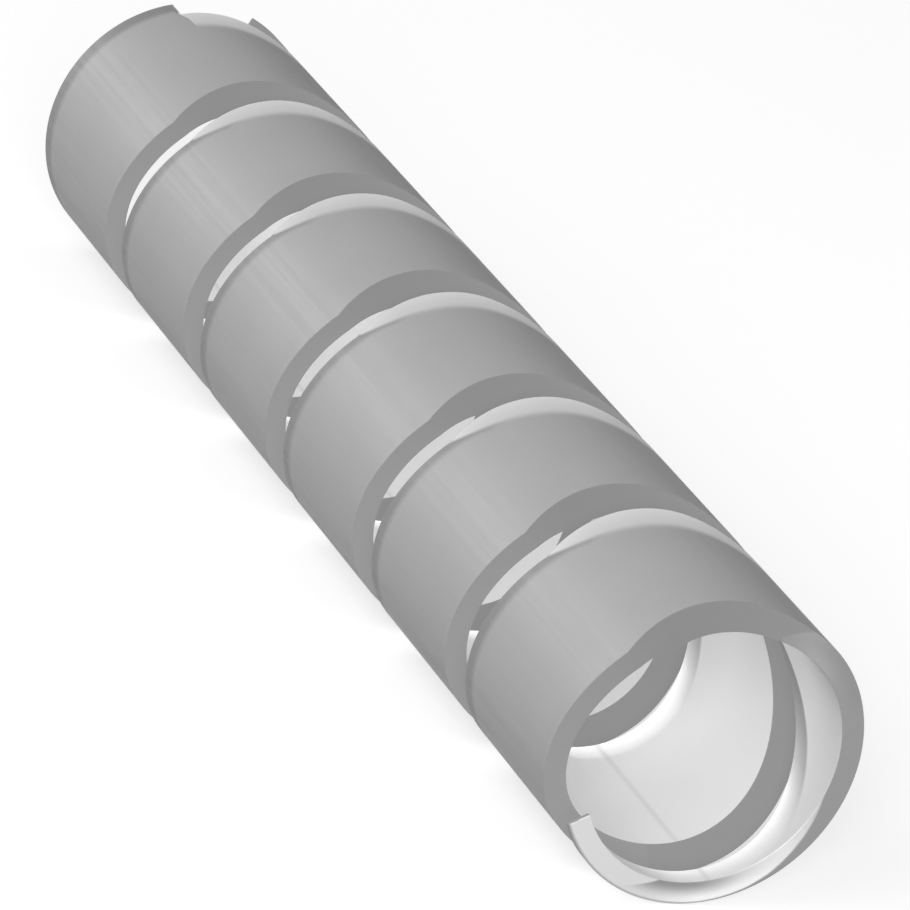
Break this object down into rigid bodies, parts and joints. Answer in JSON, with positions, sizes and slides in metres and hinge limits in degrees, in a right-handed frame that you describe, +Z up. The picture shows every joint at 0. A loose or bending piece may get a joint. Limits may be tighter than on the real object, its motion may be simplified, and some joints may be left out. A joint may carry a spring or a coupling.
{
  "type": "spiral cable wrap",
  "caption": "Flexible plastic tube slit along a left-handed helix, which winds round a bundle of cables and holds it together.",
  "frame": {"origin": "on the floor under the middle of the tube, which lies on its side", "axes": "+X along the tube's axis towards the near end in the picture, +Z up"},
  "size_m": [0.1222, 0.025, 0.025],
  "materials": {
    "natural_plastic": "smooth satin"
  },
  "bodies": {
    "root": {"spiral_wrap": "natural_plastic"}
  },
  "joints": []
}
